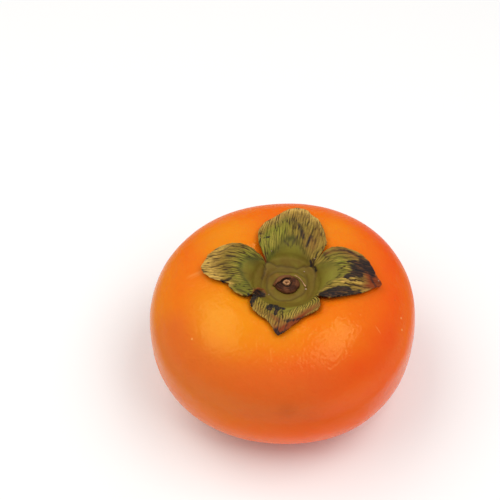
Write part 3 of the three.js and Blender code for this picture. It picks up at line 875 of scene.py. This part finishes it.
def wrinkle(lobe, u, v):
    # lengthwise wrinkles, wandering and broken: creases, and the ridges between them
    seed = lobe["aim"] * 0.37
    label = u / (1 - 0.2 * v * v) * 10 / calyxShape["wrinkleEvery"]
    label += 0.9 * wobble(u * 1.6, v * 2.2, seed) + 0.3 * wobble(u * 6, v * 8, seed + 3)
    even = abs(sin(pi * label))
    drawn = abs(wobble(label * 0.9, v * 2.4, seed + 20))
    fine = abs(wobble(label * 2, v * 5, seed + 31))
    strength = min(1, max(0.2, 0.85 + 0.8 * wobble(round(label) * 1.7, v * 2.6, seed + 7)))
    crease = mix(1 - smooth(drawn, 0, 0.2), (1 - even ** 0.8) * strength, lobe["even"])
    crease = max(crease, 0.45 * (1 - smooth(fine, 0, 0.15)))
    ridge = mix(smooth(drawn, 0.18, 0.4), smooth(even, 0.6, 1) * strength, lobe["even"])
    return crease, ridge


def calyxPlace(lobe, u, t):
    # point, wall thickness and what is painted there
    s = calyxShape
    discShare = s["discRows"] / (s["discRows"] + s["lobeRows"])
    masks = dict.fromkeys(("char", "rust", "green", "pale", "shade", "line"), 0)
    if t <= discShare:
        share = t / discShare
        v = share - 1
        angle = radians(mix(lobe["from"], lobe["to"], (u + 1) / 2))
        x, y, z, bottom = discPoint(angle, share)
    else:
        v = (t - discShare) / (1 - discShare)
        x, y, z, bottom = lobePoint(lobe, u, v)
    wall = z - bottom
    dx, dy = x - fruitShape["stalk"][0], y - fruitShape["stalk"][1]
    rise, groove = discRelief(dx, dy)
    z += rise + addStrokes(dx, dy, masks)
    blur = lobe["blur"]
    ends = alongSoft(lobe["tongue"], u, 0.06)
    ends += 0.5 * blur * wobble(u * 11, v * 2, lobe["aim"]) * (1 - u ** 4)
    flesh = 1 - smooth(v, ends - 0.3 * blur, ends + 0.7 * blur)
    z += s["padRise"] * smooth(v, -0.22, -0.02) * flesh * smooth(1 - abs(u), 0, 0.45)
    near, far = lobe["fleshGreen"]
    middle = smooth(1 - abs(u), 0, 0.3)
    fleshGreen = mix(0.3, mix(near, far, smooth(v, -0.1, 0.15)), smooth(v, -0.4, -0.15) * middle)
    papery = (1 - flesh) * smooth(v, 0, 0.06)
    crease, ridge = wrinkle(lobe, u, v)
    if v > 0:
        edgeNear = max(smooth(v, 0.9, 1), smooth(abs(u), 0.93, 1))
        z -= s["wrinkleDepth"] * (crease - 0.5 * ridge) * papery * (1 - 0.5 * edgeNear)
        z += 0.1 * wobble(x * 0.9, y * 0.9, 3) * papery
        masks["pale"] += lobe["pale"] * smooth(v, 0.7, 1) + 0.7 * lobe["ridges"] * ridge * papery
        masks["shade"] += 0.5 * hump(v, ends + 0.06, 0.05) * (1 - smooth(abs(u), 0.75, 1))
        for kind, marks in lobe["marks"].items():
            for atU, atV, spreadU, spreadV, strength in marks:
                masks[kind] += strength * hump(u, atU, spreadU) * hump(v, atV, spreadV)
    faint = 0.3 * flesh * smooth(v, -0.15, 0.1) * middle
    # the painted shade of the disc's ring grooves joins the creases here
    crease = max(groove, crease * max(papery, faint), masks["line"])
    leafGreen = masks["green"] + lobe["green"] * (1 - smooth(v, 0.3, 0.85))
    masks["green"] = mix(leafGreen, fleshGreen, flesh)
    return (x, y, z), wall, {
        "zones": (flesh, masks["char"], masks["rust"]),
        "lines": (crease, masks["pale"], masks["shade"]),
        "strands": ((u * 10 + lobe["aim"]) / 20, (v + 1) * 0.7, masks["green"]),
    }


def makeLobe(lobe):
    s = calyxShape
    deselectAll()
    rows = s["discRows"] + s["lobeRows"]
    bpy.ops.mesh.primitive_grid_add(x_subdivisions=s["columns"], y_subdivisions=rows, size=2)
    piece = bpy.context.object
    mesh = piece.data
    painted = {"zones": [], "lines": [], "strands": []}
    walls = []
    for vertex in mesh.vertices:
        u, t = -vertex.co.x, (vertex.co.y + 1) / 2
        point, wall, colours = calyxPlace(lobe, u, t)
        vertex.co = Vector(point) * mm
        walls.append(wall)
        for name, colour in colours.items():
            painted[name].append(colour)
    for name, colours in painted.items():
        paintPoints(mesh, name, colours)
    group = piece.vertex_groups.new(name="wall")
    for vertex, wall in zip(mesh.vertices, walls):
        group.add([vertex.index], min(1, max(0.16, 0.62 * wall / s["wall"])), "REPLACE")
    return piece


def calyxMaterial():
    look = calyxLook
    material, net, shader, place = newMaterial("driedCalyx", 0.6, look)
    _, flesh, char, rust = net.attribute("zones")
    _, crease, pale, shade = net.attribute("lines")
    strands, _, _, green = net.attribute("strands")

    def drawnOut(across, along, detail, roughness):
        # noise drawn out along the strands
        scaled = net.add("ShaderNodeMapping", Vector=strands, Scale=(across, along, 0))
        return net.noise(scaled.outputs["Vector"], 1, detail, roughness)

    cloud = net.group(clouds, Vector=place, Scale=190, Contrast=1.6)
    fibres = drawnOut(46, 5, 3, 0.65)
    streaks = drawnOut(95, 7, 2, 0.6)
    weather = net.times(net.aboutHalf(drawnOut(34, 6, 4, 0.7)), 1.7)
    mottle = net.aboutHalf(cloud)
    # papery part: light ridges between dark creases
    leafTone = net.plus(green, net.times(mottle, 0.6), clamp=True)
    papery = net.blend(leafTone, "khaki", "leafGreen")
    strawShare = net.times(pale, net.fade(cloud, 0.2, 0.7, 0.5, 1), clamp=True)
    papery = net.blend(strawShare, papery, "straw")
    papery = net.blend(net.fade(fibres, 0.42, 0.72, 0, 0.55), papery, "line")
    papery = net.blend(net.fade(crease, 0.18, 0.68, 0, 0.92), papery, "line")
    # fleshy part
    fleshTone = net.plus(green, net.times(mottle, 0.9), clamp=True)
    fleshy = net.blend(fleshTone, "fleshOlive", "fleshGreen")
    # in the disc this darkens the ring grooves as painted shade
    fleshy = net.blend(net.fade(crease, 0.1, 1, 0, 0.9), fleshy, "crevice")
    colour = net.blend(flesh, papery, fleshy)
    colour = net.blend(net.times(shade, 0.8, clamp=True), colour, "shade")
    # rust and char, broken up along the strands
    rusty = net.plus(rust, net.times(weather, 0.4))
    dry = net.blend(net.fade(rusty, 0.45, 1), "tan", "rust")
    rustShare = net.times(net.fade(rusty, 0.15, 0.7, 0, 0.9), net.fade(crease, 0.2, 0.9, 1, 0.45))
    colour = net.blend(rustShare, colour, dry)
    charred = net.fade(net.plus(char, net.times(weather, 0.8)), 0.15, 0.8)
    charred = net.times(charred, net.fade(char, 0.04, 0.25, 0, look["charShare"]))
    scorch = net.blend(net.fade(streaks, 0.5, 0.66, 0, 0.6), "char", "scorched")
    colour = net.blend(charred, colour, scorch)
    spots = net.group(specks, Vector=place, Scale=900, Size=0.2, Share=0.1)
    colour = net.blend(net.times(spots, look["speckShare"]), colour, "line")
    net.put(shader, "Base Color", colour)
    net.put(shader, "Roughness", net.fade(flesh, 0, 1, *look["roughness"]))
    dryFibres = net.times(fibres, net.maths("SUBTRACT", 1, flesh))
    height = net.plus(dryFibres, net.times(net.noise(place, 1900), 0.35))
    net.bump(shader, 0.8, look["fibreDepth"] * mm, height)
    shader.inputs["Specular IOR Level"].default_value = 0.12
    return material


def makeCalyx():
    calyx = joinPieces([makeLobe(lobe) for lobe in lobes])
    bpy.ops.object.mode_set(mode="EDIT")
    bpy.ops.mesh.select_all(action="SELECT")
    bpy.ops.mesh.remove_doubles(threshold=0.00001)
    bpy.ops.object.mode_set(mode="OBJECT")
    solidify = calyx.modifiers.new("wall", "SOLIDIFY")
    solidify.thickness = calyxShape["wall"] * mm
    solidify.offset = -1
    solidify.vertex_group = "wall"
    solidify.thickness_vertex_group = 0
    bpy.ops.object.modifier_apply(modifier="wall")
    finishPiece(calyx, "persimmonCalyx", calyxMaterial(), "calyx")


makeCalyx()


# ---- the scar of the stalk ----

scarShape = {
    # outline: [direction in degrees, distance]; pointed at the left
    "outline": [(2, 4), (20, 4.05), (64, 3.6), (108, 3.45), (141, 3.7), (170, 3.8), (184, 4.15),
                (192, 3.5), (236, 3), (279, 3.2), (333, 3.6)],
    "gap": 0.3,
    # over the domed scar, its groove and the woody ring, to the bore
    "profile": [(0, 0.75), (0.1, 0.85), (0.14, 1.5), (0.2, 1.65), (0.27, 1.5), (0.31, 0.85), (0.4, 0.8),
                (0.5, 1.2), (0.66, 1.35), (0.85, 1), (0.97, 0.45), (1, 0)],
    # edge of the lid over the upper left: [x, y], and its height
    "lidEdge": [(-4.4, -1.5), (-3.5, -0.8), (-1.9, 0.3), (-1.35, 1.15), (-0.4, 1.75), (0.8, 1.8),
                (2.2, 1.2), (4.2, 0.6)],
    "lidRise": 0.32,
    "slitDepth": 0.4,
    "boreDepth": 0.5,
    "segments": 160,
    "rings": 120,
}

scarLook = {
    "dark": (0.052, 0.017, 0.008),
    "brown": (0.135, 0.046, 0.018),
    "tan": (0.27, 0.11, 0.04),
    "wood": (0.56, 0.3, 0.14),
    # painted shade: near black for the slit under the lid, the groove round the ring and the bore
    "crease": (0.012, 0.006, 0.004),
    "grainDepth": 0.1,
}


def scarPoint(direction):
    s = scarShape
    angle = atan2(direction.y, direction.x)
    share = 1 - asin(min(1, abs(direction.z))) / (pi / 2)
    reach = share * aroundList(s["outline"], angle)
    x, y = reach * cos(angle), reach * sin(angle)
    masks = [0, 0, 0]      # wood, crease, tan
    z = 0
    if direction.z > 0:
        z = alongSoft(s["profile"], share, 0.015)
        domed = smooth(share, 0.34, 0.48)
        # fine rings of the cut fibres
        z += 0.045 * sin(share * 42 + 2 * wobble(x, y)) * domed * (1 - smooth(share, 0.9, 1))
        z += 0.1 * wobble(x * 1.6, y * 1.6, 7) * domed
        # lid over the upper left, with a dark slit under its edge that runs to the pointed corner
        past = y - alongSoft(s["lidEdge"], x, 0.2) + 0.12 * wobble(x * 1.5, 4)
        left = smooth(-x, -2.4, -0.4)
        lid = smooth(past, -0.05, 0.22) * left * domed
        slit = hump(past, -0.1, 0.2) * left * smooth(1 - share, 0, 0.06)
        z += s["lidRise"] * lid * smooth(1 - share, 0, 0.25) - s["slitDepth"] * slit
        # woody ring with an uneven bore
        bore = hypot(x + 0.12, y + 0.03)
        ring = smooth(bore, 0.28, 0.42) * (1 - smooth(share, 0.27, 0.31))
        pit = hump(hypot(x - 0.5, y - 0.25), 0, 0.13)
        z -= (s["boreDepth"] * (1 - smooth(bore, 0.25, 0.4)) + 0.25 * pit) * (1 - smooth(share, 0.2, 0.3))
        z += 0.1 * wobble(x * 4, y * 4, 2) * (1 - smooth(share, 0.25, 0.32))
        hollow = hump(share, 0.35, 0.06)
        # painted shade: this crease mask darkens the slit under the lid, the groove and the bore
        crease = min(1, slit + 0.85 * hollow + 1 - smooth(bore, 0.2, 0.36))
        masks = [ring * (1 - 0.8 * pit), crease, 0.75 * lid]
    return (x, y, z), masks


def scarMaterial():
    look = scarLook
    material, net, shader, place = newMaterial("stalkScar", 0.6, look)
    _, wood, crease, tan = net.attribute("masks")
    cloud = net.group(clouds, Vector=place, Scale=520, Contrast=2.6)
    grain = net.noise(place, 2600, 3, 0.6)
    colour = net.blend(net.fade(cloud, 0.3, 0.8), "dark", "brown")
    colour = net.blend(net.times(tan, 0.7, clamp=True), colour, "tan")
    colour = net.blend(wood, colour, net.blend(net.fade(grain, 0.35, 0.7), "wood", "tan"))
    # painted shade in the slit, the groove and the bore
    colour = net.blend(net.fade(crease, 0.15, 0.8, 0, 0.9), colour, "crease")
    net.put(shader, "Base Color", colour)
    net.put(shader, "Roughness", net.fade(grain, 0.3, 0.7, 0.5, 0.75))
    shader.inputs["Specular IOR Level"].default_value = 0.12
    net.bump(shader, 0.7, look["grainDepth"] * mm, grain)
    return material


def makeScar():
    seat = Vector((*fruitShape["stalk"], seatTop + scarShape["gap"]))
    paint = []

    def place(direction):
        point, masks = scarPoint(direction)
        paint.append(masks)
        return seat + Vector(point)

    scar = newBall(scarShape, place)
    paintPoints(scar.data, "masks", paint)
    finishPiece(scar, "stalkScar", scarMaterial(), "stalk_stub")


makeScar()


# ---- a dried fibre and crumbs left on the disc ----

fibreShape = {
    # path from the stalk: x, y and height over the resting height, with the half thickness
    "path": [(1.9, 3.7, 0.2, 0.05), (2.5, 3.45, 0.35, 0.12), (3.7, 2.5, 0.5, 0.15),
             (4.4, 1.75, 0.38, 0.09), (4.9, 1, 0.25, 0.11), (5.35, 0.2, 0.18, 0.17),
             (5.6, -0.15, 0.18, 0.29), (5.75, -0.45, 0.1, 0.1)],
    "rest": 0.25,         # resting height over the disc
    "segments": 12,
    "rings": 72,
}

crumbShape = {
    # place from the stalk, and half sizes
    "crumbs": [((5.85, -0.95), (0.3, 0.26, 0.18)), ((5.2, 4.9), (0.2, 0.17, 0.12)),
               ((-5.1, -3.5), (0.15, 0.22, 0.12)), ((-4.9, 9.4), (0.16, 0.15, 0.12)),
               ((8.1, 7.3), (0.22, 0.12, 0.12)), ((27.2, 1.3), (0.2, 0.19, 0.14)),
               ((-8.4, 12.9), (0.12, 0.12, 0.1))],
    "bedding": 0.6,       # how high the middle stands, in half heights
    "segments": 16,
    "rings": 10,
}

styleShape = {
    "place": (0.3, -0.2),
    "top": 1.12,
    "bottom": 0.22,
    "profile": [(0, 1.1), (0.2, 1), (0.45, 0.55), (0.75, 0.34), (1, 0.22)],   # half thickness downwards
    "lean": 0.25,
    "segments": 32,
    "rings": 28,
}

debrisLook = {
    "style": ((0.02, 0.012, 0.008), (0.09, 0.045, 0.022)),
    "fibre": ((0.26, 0.1, 0.035), (0.6, 0.34, 0.17)),
    "crumb": ((0.28, 0.15, 0.09), (0.46, 0.32, 0.23)),
    "grainDepth": 0.08,
}


def debrisMaterial(name, tones):
    material, net, shader, place = newMaterial(name, 0.6, debrisLook)
    cloud = net.group(clouds, Vector=place, Scale=900, Contrast=2.4)
    net.put(shader, "Base Color", net.blend(cloud, *tones))
    net.bump(shader, 0.6, debrisLook["grainDepth"] * mm, net.noise(place, 4200))
    return material


def topOfCalyx(calyx, x, y):
    # where a line straight down meets the calyx, in millimetres
    above = Vector((x * mm, y * mm, 0.2))
    hit, point, normal, face = calyx.ray_cast(above, Vector((0, 0, -1)))
    return point.z / mm


def makeFibre():
    s = fibreShape
    stalkX, stalkY = fruitShape["stalk"]
    steps = [step / (len(s["path"]) - 1) for step in range(len(s["path"]))]
    lists = [list(zip(steps, values)) for values in zip(*s["path"])]

    def place(direction):
        share = downShare(direction)
        x, y, z, thick = (alongSoft(values, share, 0.04) for values in lists)
        turn = atan2(direction.y, direction.x)
        closing = min(1, 6 * sin(pi * share))
        reach = thick * closing * (1 + 0.25 * wobble(share * 14, cos(turn), sin(turn)))
        x, y = x + 0.8 * reach * cos(turn), y + 0.6 * reach * cos(turn)
        return Vector((stalkX + x, stalkY + y, seatTop + s["rest"] + z + reach * sin(turn)))

    fibre = newBall(s, place)
    finishPiece(fibre, "driedFibre", debrisMaterial("driedFibre", debrisLook["fibre"]))


def makeCrumbs(calyx):
    s = crumbShape
    stalkX, stalkY = fruitShape["stalk"]
    crumbs = []
    for index, ((x, y), half) in enumerate(s["crumbs"]):
        x, y = stalkX + x, stalkY + y
        middle = Vector((x, y, topOfCalyx(calyx, x, y) + s["bedding"] * half[2]))

        def place(direction):
            lump = 1 + 0.5 * wobble(*(direction * 1.3 + Vector((index * 7, 0, 0))))
            return middle + Vector(a * b for a, b in zip(direction, half)) * lump

        crumbs.append(newBall(s, place))
    joined = joinPieces(crumbs)
    finishPiece(joined, "driedCrumbs", debrisMaterial("driedCrumbs", debrisLook["crumb"]))


def stylePoint(direction):
    # withered point in the dimple under the fruit, clear of what it stands on
    s = styleShape
    angle = atan2(direction.y, direction.x)
    share = downShare(direction)
    reach = alongSoft(s["profile"], share, 0.04) * min(1, 5 * sin(pi * share))
    reach *= (1 + 0.25 * cos(4 * (angle - 0.6)) * smooth(share, 0, 0.4)
              + 0.3 * wobble(cos(angle) * 2, sin(angle) * 2, share * 5))
    x, y = around(s["place"], angle, reach)
    return Vector((x + s["lean"] * share * share, y, mix(s["top"], s["bottom"], share)))


makeFibre()
makeCrumbs(bpy.data.objects["persimmonCalyx"])
style = newBall(styleShape, stylePoint)
finishPiece(style, "witheredStyle", debrisMaterial("witheredStyle", debrisLook["style"]))

# ---- the end ----

print("scene built")
